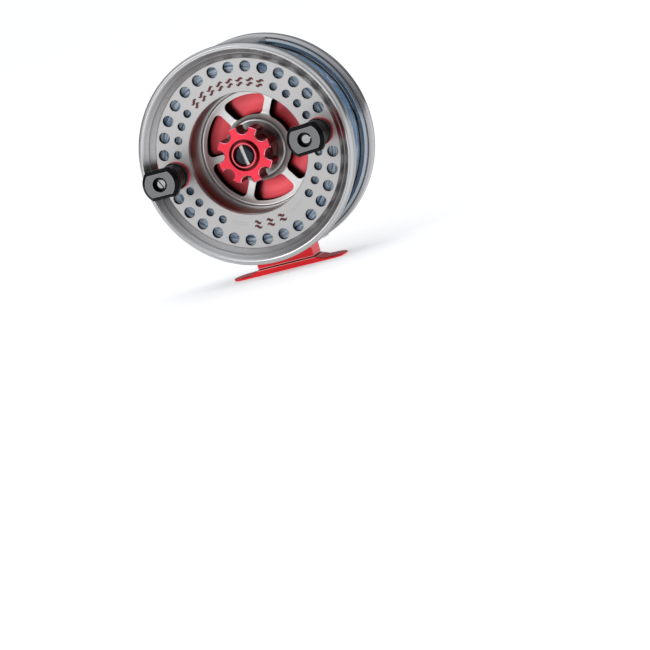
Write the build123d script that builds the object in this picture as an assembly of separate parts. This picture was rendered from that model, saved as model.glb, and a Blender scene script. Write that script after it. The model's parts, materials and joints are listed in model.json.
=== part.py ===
"""Direct-drive trolling reel with a star drag, a palming rim and twin handles.

Frame of the part, in millimetres: +X runs along the rod towards its tip, +Y runs along the spool axis
from the handle side to the frame's back plate, and +Z points up, away from the rod. The origin is the
middle of the foot's underside. Depths are measured along +Y from the front surface of the spool's face
plate, so the handles have negative depths and the frame's back plate has the largest ones.
"""
from build123d import *
from math import acos, atan2, cos, degrees, radians, sin
import os

# Where the spool sits over the foot
AXIS_HEIGHT = 63.0          # spool axis above the underside of the foot
FACE_Y = -17.0              # front surface of the spool's face plate
HANDLE_ANGLE = 2.7          # line through both handles, turned from the rod's direction

# Spool
WELL_R = 31.2               # open well round the star knob
ARBOR_R = 35.0              # cylinder that the line is wound on
LINE_R = 50.2               # wound line, full
FACE_EDGE_R = 48.3          # flat part of the face plate ends here
FACE_THICKNESS = 2.8
CREST_R = 54.0              # front crest of the palming rim
CREST_DEPTH = -5.9
RIM_R = 56.5                # outside of the palming rim
RIM_BACK_DEPTH = 1.9
FLANGE_R = 50.8             # rear flange of the spool
FLANGE_FRONT = 29.4
FLANGE_BACK = 30.6
WEB_FRONT = 20.0            # spoked web at the bottom of the well
WEB_BACK = 26.0
WEB_SPOKES = 6
WEB_SPOKE_WIDTH = 3.6
WINDOW_INNER_R = 17.0
WINDOW_OUTER_R = 27.6
WINDOW_CORNER_R = 2.8
BOSS_FRONT = 15.7           # polished collar round the hub
HUB_R = 12.5
HUB_BACK = 30.0

# Holes through the face plate: two groups of outer holes and four of inner holes beside the handles
OUTER_HOLES_R = 44.3
OUTER_HOLE_R = 2.9
OUTER_HOLES_PER_SIDE = 14
HOLE_PITCH = 11.52
INNER_HOLES_R = 36.9
INNER_HOLE_R = 2.15
INNER_HOLES_PER_GROUP = 4
FLANGE_HOLES = 30
FLANGE_HOLES_R = 43.0
TIE_SCREWS = 6              # long screws that hold the spool together
TIE_SCREW_R = 1.0
TIE_SCREW_CIRCLE_R = 33.1

# Frame
FRAME_RING_INNER_R = 51.2
FRAME_RING_FRONT = 30.4
FRAME_BACK = 40.0
FRAME_R = 56.1
BACK_WEB_FRONT = 34.5
BACK_WEB_BACK = 37.5
FRONT_RING_R = 53.8
FRONT_RING_DEPTHS = (3.4, 5.6)
CROSSBAR_R = 55.0
CROSSBAR_SPAN = 34.0        # angle covered by the top crossbar
CROSSBAR_HALF_LENGTH = 17.0  # bottom crossbar, which carries the foot
CROSSBAR_BOTTOM = -54.0     # its flat underside, measured from the spool axis
FRAME_SCREW_CIRCLE_R = 53.1
TOP_SCREW_ANGLES = (78.0, 90.0, 102.0)
FOOT_BAR_SCREWS = ((-12.5, -51.2), (12.5, -51.2))
BACK_WINDOWS = 6

# Foot
FOOT_LENGTH = 62.0
FOOT_WIDTH = 14.4
FOOT_FLANGE = 3.2           # thickness beside the block
FOOT_SHOULDER = 20.0        # where the thin tongue starts
FOOT_TONGUE = 1.4
FOOT_BLOCK_HALF_LENGTH = 15.25
FOOT_SEAM = 0.4             # bevels that form the groove under the block
FOOT_SCREW_X = 8.0

# Handles
HANDLE_CIRCLE_R = 39.7
KNOB_BODY_R = 7.0
KNOB_FLANGE_R = 9.7
KNOB_FLAT = 7.5
KNOB_FRONT = -28.5
KNOB_NECK = -22.5
KNOB_BACK = -2.4
KNOB_BEVEL = 2.1
KNOB_TURNS = (2.7, -0.3)    # how far each handle is turned on its post
KNOB_RECESS_R = 3.7
POST_R = 1.9
POST_FRONT = -24.0
BUSH_R = 3.4
HANDLE_SLOT_ANGLES = (4.0, 115.0)  # slots of the handle screws

# Star knob
STAR_R = 14.6
STAR_NOTCHES = 8
STAR_NOTCH_R = 3.1
STAR_NOTCH_CIRCLE_R = 13.7
STAR_FRONT = -6.0
STAR_BACK = 6.5
STAR_SKIRT_BACK = 14.2
STAR_SKIRT_R = 11.2
STAR_PHASE = -10.5
SPINDLE_SLOT_ANGLE = 98.0   # where the screw's slot came to rest

# Spindle, bearings and brake
SPINDLE_R = 4.0
SPINDLE_REAR_R = 5.0
BEARING_R = 8.0
BEARING_WIDTH = 5.0
BALL_R = 1.2
BALL_PITCH_R = 6.0
BALL_COUNT = 8
FRONT_BEARING_DEPTH = 18.4  # middle of the bearing
REAR_BEARING_DEPTH = 27.5
HOUSING_R = 29.3
HOUSING_FRONT = 27.5
CHAMBER_R = 27.0
ROTOR_DEPTHS = (30.0, 31.2)
ROTOR_R = 19.5
CLICK_TEETH = 48
ROTOR_SCREWS = 4
ROTOR_SCREW_CIRCLE_R = 10.3
HOUSING_SCREWS = 6
HOUSING_SCREW_CIRCLE_R = 33.0
RATCHET_DEPTHS = (32.3, 33.8)
RATCHET_R = 19.5
RATCHET_ROOT_R = 18.0
RATCHET_TEETH = 24
RATCHET_LEAD = 4.8          # angle from a tooth's root to the dog's engaged tip
DOG_PIVOT_R = 24.0
DOG_PIVOT_ANGLE = -60.0
DOG_LENGTH = 9.0
DOG_REST_R = 20.0           # radius of the dog's tip while it is lifted
DOG_SWING = 7.0             # swing that drops the dog into the ratchet
CLICK_PIVOT_R = 23.6
CLICK_REST_R = 19.9         # radius of the click pawl's tip while the click is off

SCREW_CLEARANCE = 0.1


def turned(points, rounding=None):
    """Solid of revolution about the spool axis from (radius, depth) points.

    rounding maps the index of a point to the radius of the fillet there.
    """
    profile = make_face(Polyline(*points, close=True))
    for index, radius in (rounding or {}).items():
        corner = Vector(*points[index], 0)
        nearest = min(profile.vertices(), key=lambda vertex: (Vector(vertex) - corner).length)
        profile = fillet(nearest, radius)
    return revolve(profile, Axis.Y)


def ring(inner, outer, front, back):
    """Plain ring round the spool axis."""
    return turned([(inner, front), (outer, front), (outer, back), (inner, back)])


def rod(radius, front, back):
    """Cylinder along the spool axis."""
    return Pos(0, (front + back) / 2, 0) * Rot(90, 0, 0) * Cylinder(radius, back - front)


def slab(sketch, front, back):
    """Sketch drawn as seen from the handle side, given a thickness along the spool axis."""
    return extrude(Plane((0, back, 0), x_dir=(1, 0, 0), z_dir=(0, -1, 0)) * sketch, back - front)


def around(shape, angle):
    """Turn a shape about the spool axis, anticlockwise as seen from the handle side."""
    return Rot(0, -angle, 0) * shape


def at_polar(shape, radius, angle):
    """Move a shape off the axis to a radius and an angle, without turning it."""
    return Pos(radius * cos(radians(angle)), 0, radius * sin(radians(angle))) * shape


def polar(radius, angle):
    return (radius * cos(radians(angle)), radius * sin(radians(angle)))


def evenly(count, first=0.0):
    return [first + 360.0 / count * index for index in range(count)]


def group(shapes):
    """Several equal fasteners or balls kept as separate solids in one node."""
    return Compound([solid for shape in shapes for solid in shape.solids()])


def pan_screw(radius, head_r, head_front, seat, tip):
    """Pan-head screw with a hexagon socket, its head towards the handle side when head_front < seat."""
    low, high = sorted((head_front, seat))
    shank_low, shank_high = sorted((seat, tip))
    head = rod(head_r, low, high)
    outer_face = head.faces().sort_by(Axis.Y)[0 if head_front < seat else -1]
    head = fillet(outer_face.edges(), (high - low) * 0.35)
    socket_depth = (high - low) * 0.6
    socket_low = low if head_front < seat else high - socket_depth
    socket = slab(RegularPolygon(head_r * 0.5, 6), socket_low, socket_low + socket_depth)
    return head + rod(radius, shank_low, shank_high) - socket


# ---------------------------------------------------------------- spool

def face_hole_angles():
    """Angles of the outer holes, and of the inner holes beside each handle."""
    half_span = HOLE_PITCH * (OUTER_HOLES_PER_SIDE - 1) / 2
    outer, inner = [], []
    for middle in (90.0, 270.0):
        first = HANDLE_ANGLE + middle - half_span
        side = [first + HOLE_PITCH * index for index in range(OUTER_HOLES_PER_SIDE)]
        outer += side
        inner += side[:INNER_HOLES_PER_GROUP] + side[-INNER_HOLES_PER_GROUP:]
    return outer, inner


def handle_angles():
    return [HANDLE_ANGLE, HANDLE_ANGLE + 180.0]


def tie_screw_angles():
    return evenly(TIE_SCREWS, HANDLE_ANGLE + 30.0)


def spool_face_plate():
    """Perforated front flange of the spool, which also carries the handles."""
    plate = ring(WELL_R, FACE_EDGE_R, 0, FACE_THICKNESS)
    well_edge = plate.edges().group_by(Axis.Y)[0].sort_by(SortBy.RADIUS)[0]
    plate = chamfer(well_edge, 0.25)
    outer, inner = face_hole_angles()
    cutters = [at_polar(rod(OUTER_HOLE_R, -1, 4), OUTER_HOLES_R, angle) for angle in outer]
    cutters += [at_polar(rod(INNER_HOLE_R, -1, 4), INNER_HOLES_R, angle) for angle in inner]
    cutters += [at_polar(rod(POST_R, -1, 4), HANDLE_CIRCLE_R, angle) for angle in handle_angles()]
    tie_screw_hole = rod(TIE_SCREW_R, 1.2, 4)
    cutters += [at_polar(tie_screw_hole, TIE_SCREW_CIRCLE_R, angle) for angle in tie_screw_angles()]
    return plate - cutters


def palming_rim():
    """Exposed rim, pressed round the face plate and turned back over the frame's front ring."""
    points = [
        (FACE_EDGE_R, 0), (51.1, -3.05), (51.3, -2.85), (CREST_R, CREST_DEPTH), (55.4, CREST_DEPTH),
        (RIM_R, -3.9), (RIM_R, -0.6), (56.0, RIM_BACK_DEPTH), (54.6, RIM_BACK_DEPTH), (54.6, -3.6),
        (50.9, 0.8), (50.9, FACE_THICKNESS), (FACE_EDGE_R, FACE_THICKNESS)]
    return turned(points, {3: 0.4, 4: 0.8, 5: 1.2, 6: 1.5, 7: 0.3, 8: 0.3})


def spool_arbor():
    """Cylinder between the flanges; its bore is the open well at the front."""
    arbor = ring(WELL_R, ARBOR_R, FACE_THICKNESS, FLANGE_FRONT)
    hole = rod(TIE_SCREW_R + SCREW_CLEARANCE, FACE_THICKNESS - 1, FLANGE_FRONT + 1)
    return arbor - [at_polar(hole, TIE_SCREW_CIRCLE_R, angle) for angle in tie_screw_angles()]


def spool_web():
    """Six-spoked web at the bottom of the well, with the hub and its two bearing seats."""
    bearing_half = BEARING_WIDTH / 2
    points = [
        (BEARING_R, BOSS_FRONT), (15.4, BOSS_FRONT), (16.9, WEB_FRONT), (30.2, WEB_FRONT), (30.2, 17.8),
        (WELL_R, 17.8), (WELL_R, WEB_BACK), (HUB_R, WEB_BACK), (HUB_R, HUB_BACK), (BEARING_R, HUB_BACK),
        (BEARING_R, REAR_BEARING_DEPTH - bearing_half), (6.6, REAR_BEARING_DEPTH - bearing_half),
        (6.6, FRONT_BEARING_DEPTH + bearing_half), (BEARING_R, FRONT_BEARING_DEPTH + bearing_half)]
    web = turned(points, {1: 1.8, 2: 2.0, 3: 0.8, 4: 0.3})
    windows = Circle(WINDOW_OUTER_R) - Circle(WINDOW_INNER_R)
    for angle in evenly(WEB_SPOKES // 2):
        windows -= Rot(0, 0, angle * 0.5 + HANDLE_ANGLE) * Rectangle(4 * WELL_R, WEB_SPOKE_WIDTH)
    windows = fillet(windows.vertices(), WINDOW_CORNER_R)
    screw_hole = rod(1.0, WEB_BACK, HUB_BACK + 1)
    screw_holes = [at_polar(screw_hole, ROTOR_SCREW_CIRCLE_R, angle) for angle in evenly(ROTOR_SCREWS, 45)]
    return web - slab(windows, WEB_FRONT - 3, WEB_BACK + 1) - screw_holes


def spool_rear_flange():
    flange = turned(
        [(WELL_R, FLANGE_FRONT), (FLANGE_R, FLANGE_FRONT), (FLANGE_R, FLANGE_BACK), (WELL_R, FLANGE_BACK)],
        {1: 0.3, 2: 0.3})
    cutters = [at_polar(rod(OUTER_HOLE_R, 28, 32), FLANGE_HOLES_R, angle) for angle in evenly(FLANGE_HOLES)]
    hole = rod(TIE_SCREW_R + SCREW_CLEARANCE, 28, 32)
    cutters += [at_polar(hole, TIE_SCREW_CIRCLE_R, angle) for angle in tie_screw_angles()]
    return flange - cutters


def spool_tie_screws():
    """Long screws from the rear flange through the arbor into the face plate."""
    screw = pan_screw(TIE_SCREW_R, 1.8, FLANGE_BACK + 0.75, FLANGE_BACK, 1.3)
    return group([at_polar(screw, TIE_SCREW_CIRCLE_R, angle) for angle in tie_screw_angles()])


def line_winding():
    """Wound line, as one closed ring between the flanges."""
    return ring(ARBOR_R, LINE_R, FACE_THICKNESS, FLANGE_FRONT)


# ---------------------------------------------------------------- handles

def handle_post():
    """Plain steel stud that the handle turns on, riveted into the face plate."""
    return rod(POST_R, POST_FRONT, FACE_THICKNESS) - rod(1.0, POST_FRONT - 1, -16.5)


def handle_washer():
    washer = ring(POST_R, 7.2, KNOB_BACK + 0.4, 0)
    return chamfer(washer.edges().group_by(Axis.Y)[0], 0.35)


def handle_screw(slot_angle):
    """Slotted screw that keeps the handle on its post."""
    head = rod(2.4, POST_FRONT - 1.6, POST_FRONT)
    head = chamfer(head.faces().sort_by(Axis.Y)[0].edges(), 0.3)
    slot = slab(Rot(0, 0, slot_angle) * Rectangle(6, 0.9), POST_FRONT - 2, POST_FRONT - 0.8)
    return head + rod(1.0, POST_FRONT, -17.0) - slot


def handle_bush():
    return ring(POST_R + 0.05, BUSH_R, POST_FRONT + 0.2, KNOB_BACK)


def handle_knob(turn):
    """Handle with a waisted round body and a flanged front, flattened above and below."""
    body = turned([
        (BUSH_R, POST_FRONT + 0.2), (BUSH_R, KNOB_BACK), (KNOB_BODY_R, KNOB_BACK), (KNOB_BODY_R, -5.2),
        (6.5, -6.0), (6.5, -18.7), (KNOB_BODY_R, -19.7), (KNOB_BODY_R, POST_FRONT + 0.2)],
        {2: 0.6, 3: 0.4, 6: 0.4})
    outline = Circle(KNOB_FLANGE_R) & Rectangle(3 * KNOB_FLANGE_R, 2 * KNOB_FLAT)
    flange = slab(Rot(0, 0, turn) * outline, KNOB_FRONT, KNOB_NECK)
    flange = chamfer(flange.edges().group_by(Axis.Y)[0], KNOB_BEVEL)
    flange = chamfer(flange.edges().group_by(Axis.Y)[-1], 0.7)
    flange -= rod(KNOB_RECESS_R, KNOB_FRONT - 1, POST_FRONT + 0.2)
    flange -= rod(BUSH_R, POST_FRONT + 0.2, KNOB_NECK + 1)
    recess_edge = flange.edges().filter_by(GeomType.CIRCLE).group_by(Axis.Y)[0].sort_by(SortBy.RADIUS)[0]
    return body + chamfer(recess_edge, 0.3)


# ---------------------------------------------------------------- star drag

def drag_star():
    """Star knob with eight finger notches and a plain skirt over the spring washers."""
    outline = Circle(STAR_R)
    for angle in evenly(STAR_NOTCHES, STAR_PHASE):
        outline -= Pos(*polar(STAR_NOTCH_CIRCLE_R, angle)) * Circle(STAR_NOTCH_R)
    outline = fillet(outline.vertices(), 0.6)
    star = slab(outline, STAR_FRONT, STAR_BACK)
    star = chamfer(star.edges().group_by(Axis.Y)[0], 0.4)
    star = chamfer(star.edges().group_by(Axis.Y)[-1], 0.4)
    star += rod(STAR_SKIRT_R, STAR_BACK - 0.5, STAR_SKIRT_BACK)
    star -= rod(STAR_SKIRT_R - 1.4, STAR_BACK, STAR_SKIRT_BACK + 1)
    star -= ring(6.5, 8.1, STAR_FRONT - 1, STAR_FRONT + 2.8)
    star += ring(5.7, 6.3, STAR_FRONT - 1.2, STAR_FRONT + 0.5)
    star -= rod(5.7, STAR_FRONT - 2, STAR_FRONT + 4.3)
    return star - rod(SPINDLE_R + 0.08, STAR_FRONT, STAR_BACK + 1)


def spindle_screw():
    """Slotted screw in the end of the spindle; its head stops the star from running off."""
    head = rod(5.3, STAR_FRONT - 0.8, -2.0)
    head = fillet(head.faces().sort_by(Axis.Y)[0].edges(), 1.7)
    slot = slab(Rot(0, 0, SPINDLE_SLOT_ANGLE) * Rectangle(12, 2.0), STAR_FRONT - 1, STAR_FRONT + 0.4)
    return head + rod(2.0, -2.0, 8.0) - slot


def thrust_washer():
    return ring(SPINDLE_R + 0.06, 9.4, STAR_BACK, STAR_BACK + 1.5)


def spring_washers():
    """Conical spring washers, stacked in alternate directions, with room for the star to close on them."""
    washers = []
    for index in range(4):
        front = 8.95 + 1.1 * index
        slope = 0.45 if index % 2 else -0.45
        washers.append(turned([
            (4.5, front + 0.25 + slope / 2), (9.0, front + 0.25 - slope / 2),
            (9.0, front + 0.80 - slope / 2), (4.5, front + 0.80 + slope / 2)]))
    return group(washers)


def spring_collar():
    """Carries the spring load to the front bearing's inner race."""
    return turned([
        (SPINDLE_R, 13.4), (9.0, 13.4), (9.0, 14.4), (5.0, 14.4), (5.0, 15.9), (SPINDLE_R, 15.9)])


# ---------------------------------------------------------------- spindle and bearings

def spindle():
    """Fixed axle: threaded for the star in front, and clamped through the back plate behind."""
    axle = turned([
        (0, -2.0), (3.5, -2.0), (SPINDLE_R, -1.5), (SPINDLE_R, 33.9), (8.0, 33.9), (8.0, BACK_WEB_FRONT),
        (SPINDLE_REAR_R, BACK_WEB_FRONT), (SPINDLE_REAR_R, 44.2), (4.4, 44.8), (0, 44.8)])
    return axle - rod(2.0, -3.0, 8.0)


def race(inner, outer, middle):
    half = BEARING_WIDTH / 2
    groove = Pos(0, middle, 0) * Rot(90, 0, 0) * Torus(BALL_PITCH_R, BALL_R + 0.07)
    return ring(inner, outer, middle - half, middle + half) - groove


def outer_race(middle):
    return race(BALL_PITCH_R + 0.8, BEARING_R, middle)


def inner_race(middle):
    return race(SPINDLE_R, BALL_PITCH_R - 0.8, middle)


def ball_set(middle):
    ball = Pos(0, middle, 0) * Sphere(BALL_R)
    return group([at_polar(ball, BALL_PITCH_R, angle) for angle in evenly(BALL_COUNT)])


def ball_cage(middle):
    cage = ring(BALL_PITCH_R - 0.5, BALL_PITCH_R + 0.5, middle - 1.8, middle + 1.8)
    pocket = Pos(BALL_PITCH_R, middle, 0) * Rot(0, 90, 0) * Cylinder(BALL_R + 0.08, 3)
    return cage - [around(pocket, angle) for angle in evenly(BALL_COUNT)]


# ---------------------------------------------------------------- brake and click

def toothed(tip_r, root_r, teeth, lean, phase):
    """Outline of a fine-toothed wheel; lean is the tip's place between two roots, 0.5 when even."""
    pitch = 360.0 / teeth
    points = []
    for index in range(teeth):
        start = phase + pitch * index
        points += [polar(root_r, start), polar(tip_r, start + pitch * lean)]
    return make_face(Polyline(*points, close=True))


def drag_rotor():
    """Steel brake plate on the hub; its fine teeth also work the click."""
    wheel = toothed(ROTOR_R, ROTOR_R - 1.6, CLICK_TEETH, 0.5, 90.0)
    rotor = slab(wheel - Circle(6.6), *ROTOR_DEPTHS)
    holes = [at_polar(rod(1.1, 29, 32), ROTOR_SCREW_CIRCLE_R, angle) for angle in evenly(ROTOR_SCREWS, 45)]
    return rotor - holes


def drag_rotor_screws():
    """Grub screws that key the rotor to the hub, flush with its face."""
    back = ROTOR_DEPTHS[1]
    screw = rod(1.0, 26.2, back) - slab(RegularPolygon(0.5, 6), back - 0.8, back)
    return group([at_polar(screw, ROTOR_SCREW_CIRCLE_R, angle) for angle in evenly(ROTOR_SCREWS, 45)])


def friction_disc():
    return ring(8.0, 17.4, ROTOR_DEPTHS[1] + 0.1, RATCHET_DEPTHS[0])


def dog_geometry():
    """Angle between the dog's pivot and tip seen from the axis, and the tip's place when it is engaged."""
    opening = degrees(acos(
        (DOG_PIVOT_R ** 2 + DOG_REST_R ** 2 - DOG_LENGTH ** 2) / (2 * DOG_PIVOT_R * DOG_REST_R)))
    pivot = Vector(*polar(DOG_PIVOT_R, DOG_PIVOT_ANGLE))
    tip = Vector(*polar(DOG_REST_R, DOG_PIVOT_ANGLE + opening))
    engaged = pivot + (tip - pivot).rotate(Axis.Z, DOG_SWING)
    return pivot, tip, engaged


def ratchet_wheel():
    """One-way wheel; the brake slips against it while the dog holds it still."""
    engaged = dog_geometry()[2]
    phase = degrees(atan2(engaged.Y, engaged.X)) - RATCHET_LEAD
    wheel = toothed(RATCHET_R, RATCHET_ROOT_R, RATCHET_TEETH, 0.88, phase)
    return slab(wheel - Circle(6.85), *RATCHET_DEPTHS)


def ratchet_bush():
    return ring(SPINDLE_R, 6.8, 31.7, 33.9)


def ratchet_thrust_washer():
    return ring(9.0, 17.0, RATCHET_DEPTHS[1] + 0.1, BACK_WEB_FRONT)


def dog_pawl():
    """Anti-reverse dog, lifted clear of the ratchet as it is while line is wound in."""
    pivot, tip, _ = dog_geometry()
    along = (tip - pivot).normalized()
    outward = Vector(-along.Y, along.X)
    if outward.dot(tip) < 0:
        outward = -outward
    arm = make_face(Polyline(
        tip, pivot + along * 1.0 - outward * 1.5, pivot - along * 0.2 + outward * 1.9,
        tip - along * 2.2 + outward * 1.9, close=True))
    outline = arm + Pos(pivot.X, pivot.Y) * Circle(2.1) - Pos(pivot.X, pivot.Y) * Circle(1.05)
    return slab(outline, *RATCHET_DEPTHS)


def dog_pin():
    pivot = dog_geometry()[0]
    pin = rod(1.0, 31.6, BACK_WEB_FRONT) + rod(1.9, 31.1, 31.9)
    return Pos(pivot.X, 0, pivot.Y) * pin


def click_pawl():
    """Pointed pawl that the rotor's teeth ring against; off, it stands clear of them."""
    shoulder = CLICK_PIVOT_R - 1
    outline = make_face(Polyline((-1.5, shoulder), (0, CLICK_REST_R), (1.5, shoulder), close=True))
    outline += Pos(0, CLICK_PIVOT_R) * Circle(1.8) - Pos(0, CLICK_PIVOT_R) * Circle(0.85)
    return slab(outline, *ROTOR_DEPTHS)


def click_pin():
    return at_polar(rod(0.85, 29.6, 31.6), CLICK_PIVOT_R, 90)


def click_slide():
    """Inner plate and stem of the click, which slide in the back plate's slot."""
    plate = Pos(0, 32.85, 23.9) * Box(5.2, 2.5, 4.6)
    stem = Pos(0, 36.1, 23.4) * Box(3.0, 4.0, 3.0)
    return plate + stem


def click_button():
    """Ribbed sliding button on the back of the reel."""
    button = Pos(0, 39.6, 23.4) * Box(8.0, 3.0, 10.0)
    button = fillet(button.edges().filter_by(Axis.Y), 2.4)
    button = fillet(button.edges().group_by(Axis.Y)[-1], 0.8)
    groove = Pos(0, 41.1, 23.4) * Rot(0, 90, 0) * Cylinder(0.45, 10)
    return button - [Pos(0, 0, offset) * groove for offset in (-2.6, -1.3, 0, 1.3, 2.6)]


def drag_housing():
    """Anodised cup round the brake, screwed to the back plate; its front shows through the web."""
    cup = turned([
        (13.2, HOUSING_FRONT), (HOUSING_R, HOUSING_FRONT), (HOUSING_R, 32.7), (36.0, 32.7),
        (36.0, BACK_WEB_FRONT), (CHAMBER_R, BACK_WEB_FRONT), (CHAMBER_R, 29.0), (13.2, 29.0)],
        {0: 0.4, 1: 1.0, 3: 0.5})
    hole = rod(1.25 + SCREW_CLEARANCE, 32, 35)
    return cup - [at_polar(hole, HOUSING_SCREW_CIRCLE_R, angle) for angle in evenly(HOUSING_SCREWS)]


def drag_housing_screws():
    screw = pan_screw(1.25, 2.2, 31.75, 32.7, 37.0)
    return group([at_polar(screw, HOUSING_SCREW_CIRCLE_R, angle) for angle in evenly(HOUSING_SCREWS)])


# ---------------------------------------------------------------- frame

def crossbar_screw_places():
    """Frame screws, as (x, z) from the spool axis: three in the top bar and two in the bottom bar."""
    return [polar(FRAME_SCREW_CIRCLE_R, angle) for angle in TOP_SCREW_ANGLES] + list(FOOT_BAR_SCREWS)


def crossbar_outlines():
    """Cross-sections of the top bar and of the bottom bar that carries the foot."""
    half = CROSSBAR_SPAN / 2
    top = Circle(CROSSBAR_R) - Circle(FRAME_RING_INNER_R)
    wedge = make_face(Polyline((0, 0), polar(80, 90 - half), polar(80, 90 + half), close=True))
    top = top & wedge
    bottom = Pos(0, CROSSBAR_BOTTOM / 2) * Rectangle(2 * CROSSBAR_HALF_LENGTH, -CROSSBAR_BOTTOM)
    bottom -= Circle(FRAME_RING_INNER_R)
    return top, bottom


def frame_rear_ring():
    """Polished outer ring of the back, with a flat pad over the foot."""
    rear_ring = turned([
        (FRAME_RING_INNER_R, FRAME_RING_FRONT), (52.8, FRAME_RING_FRONT), (53.9, 31.3), (53.9, 32.0),
        (54.7, 32.0), (FRAME_R, 33.5), (FRAME_R, 38.6), (54.9, FRAME_BACK), (51.9, FRAME_BACK),
        (FRAME_RING_INNER_R, 39.3)], {1: 0.3, 5: 0.5, 6: 0.8, 7: 0.5, 8: 0.3})
    bottom = crossbar_outlines()[1]
    rear_ring += slab(bottom - Circle(FRAME_RING_INNER_R + 1.0), FRAME_RING_FRONT, FRAME_BACK - 1.5)
    cutters = [Pos(x, 0, z) * rod(1.0 + SCREW_CLEARANCE, 30, 41) for x, z in crossbar_screw_places()]
    cutters += [Pos(x, 0, z) * rod(2.0, 38.2, 41) for x, z in crossbar_screw_places()]
    return rear_ring - cutters


def frame_back_plate():
    """Windowed plate pressed into the rear ring, with the spindle's boss in its middle."""
    plate = turned([
        (SPINDLE_REAR_R, BACK_WEB_FRONT), (FRAME_RING_INNER_R, BACK_WEB_FRONT),
        (FRAME_RING_INNER_R, BACK_WEB_BACK), (13.4, BACK_WEB_BACK), (12.6, 41.0), (SPINDLE_REAR_R, 41.0)],
        {3: 1.0, 4: 0.5})
    windows = Circle(47.6) - Circle(38.6)
    for angle in evenly(BACK_WINDOWS // 2):
        windows -= Rot(0, 0, angle * 0.5) * Rectangle(4 * FRAME_R, 8.0)
    windows = fillet(windows.vertices(), 3.0)
    plate -= slab(windows, BACK_WEB_FRONT - 1, BACK_WEB_BACK + 1)
    slot = fillet(Rectangle(3.6, 5.3).vertices(), 0.6)
    plate -= slab(Pos(0, 22.75) * slot, BACK_WEB_FRONT - 1, BACK_WEB_BACK + 1)
    housing_hole = rod(1.25, 34, 37.1)
    cutters = [at_polar(housing_hole, HOUSING_SCREW_CIRCLE_R, angle) for angle in evenly(HOUSING_SCREWS)]
    pivot = dog_geometry()[0]
    cutters.append(Pos(pivot.X, 0, pivot.Y) * rod(0.95, 34.5, 36.5))
    return plate - cutters


def frame_front_ring():
    """Thin ring behind the palming rim that ties the crossbars together."""
    front, back = FRONT_RING_DEPTHS
    top, bottom = crossbar_outlines()
    outline = Circle(FRONT_RING_R) - Circle(FRAME_RING_INNER_R) + top + bottom
    front_ring = slab(outline, front, back)
    hole = rod(1.0 + SCREW_CLEARANCE, 3, 6)
    return front_ring - [Pos(x, 0, z) * hole for x, z in crossbar_screw_places()]


def crossbar(outline):
    bar = slab(outline, FRONT_RING_DEPTHS[1], FRAME_RING_FRONT)
    bar = fillet(bar.edges().filter_by(Axis.Y), 0.8)
    cutters = [Pos(x, 0, z) * rod(1.0, 5, 14) for x, z in crossbar_screw_places()]
    cutters += [Pos(x, 0, z) * rod(1.0, 22, 31) for x, z in crossbar_screw_places()]
    return bar - cutters


def top_crossbar():
    return crossbar(crossbar_outlines()[0])


def foot_crossbar():
    bar = crossbar(crossbar_outlines()[1])
    hole = Pos(0, -FACE_Y, CROSSBAR_BOTTOM) * Cylinder(1.25, 4.4)
    return bar - [Pos(x, 0, 0) * hole for x in (-FOOT_SCREW_X, FOOT_SCREW_X)]


def frame_screws_rear():
    screw = pan_screw(1.0, 1.9, FRAME_BACK + 0.1, 38.2, 23.0)
    return group([Pos(x, 0, z) * screw for x, z in crossbar_screw_places()])


def frame_screws_front():
    screw = pan_screw(1.0, 1.5, 2.5, FRONT_RING_DEPTHS[0], 13.0)
    return group([Pos(x, 0, z) * screw for x, z in crossbar_screw_places()])


def reel_foot():
    """Foot with a block under the frame and a tongue each way for the hoods of a reel seat."""
    half = FOOT_LENGTH / 2
    block_top = AXIS_HEIGHT + CROSSBAR_BOTTOM
    side = make_face(Polyline(
        (-half, 0), (half, 0), (half, 1.1), (FOOT_SHOULDER, FOOT_TONGUE),
        (FOOT_BLOCK_HALF_LENGTH, FOOT_FLANGE), (-FOOT_BLOCK_HALF_LENGTH, FOOT_FLANGE),
        (-FOOT_SHOULDER, FOOT_TONGUE), (-half, 1.1), close=True))
    flange = extrude(Plane.XZ * side, FOOT_WIDTH / 2, both=True)
    plan = RectangleRounded(FOOT_LENGTH, FOOT_WIDTH, FOOT_WIDTH / 2 - 0.2)
    flange = flange & extrude(plan, 10)
    block_height = block_top - FOOT_FLANGE
    block = Box(2 * FOOT_BLOCK_HALF_LENGTH, FOOT_WIDTH, block_height)
    block = Pos(0, 0, FOOT_FLANGE + block_height / 2) * block
    block = fillet(block.edges().filter_by(Axis.Z), 0.8)
    block = chamfer(block.edges().group_by(Axis.Z)[0], FOOT_SEAM)
    top_edges = [
        edge for edge in flange.edges()
        if abs(abs(edge.center().Y) - FOOT_WIDTH / 2) < 0.01 and edge.center().Z > FOOT_TONGUE / 2]
    foot = chamfer(top_edges, FOOT_SEAM) + block
    foot -= Pos(0, 0, -22.6) * Rot(0, 90, 0) * Cylinder(23.2, FOOT_LENGTH + 2)
    for x in (-FOOT_SCREW_X, FOOT_SCREW_X):
        foot -= Pos(x, 0, 0) * Cylinder(1.35, 20)
        foot -= Pos(x, 0, 1.2) * Cylinder(2.5, 2.4)
    return foot


def foot_screws():
    """Socket screws from under the foot into the bottom crossbar."""
    seat = 2.4
    tip = AXIS_HEIGHT + CROSSBAR_BOTTOM + 2.1
    screw = Pos(0, 0, seat - 0.8) * Cylinder(2.3, 1.6)
    screw += Pos(0, 0, (seat + tip) / 2) * Cylinder(1.25, tip - seat)
    screw -= Pos(0, 0, 0.8) * extrude(RegularPolygon(1.2, 6), 1.0)
    return Compound([Pos(x, 0, 0) * screw for x in (-FOOT_SCREW_X, FOOT_SCREW_X)])


def spindle_nut():
    return slab(RegularPolygon(8.2, 6), 41.0, 44.0) - rod(SPINDLE_REAR_R, 40, 45)


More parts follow.
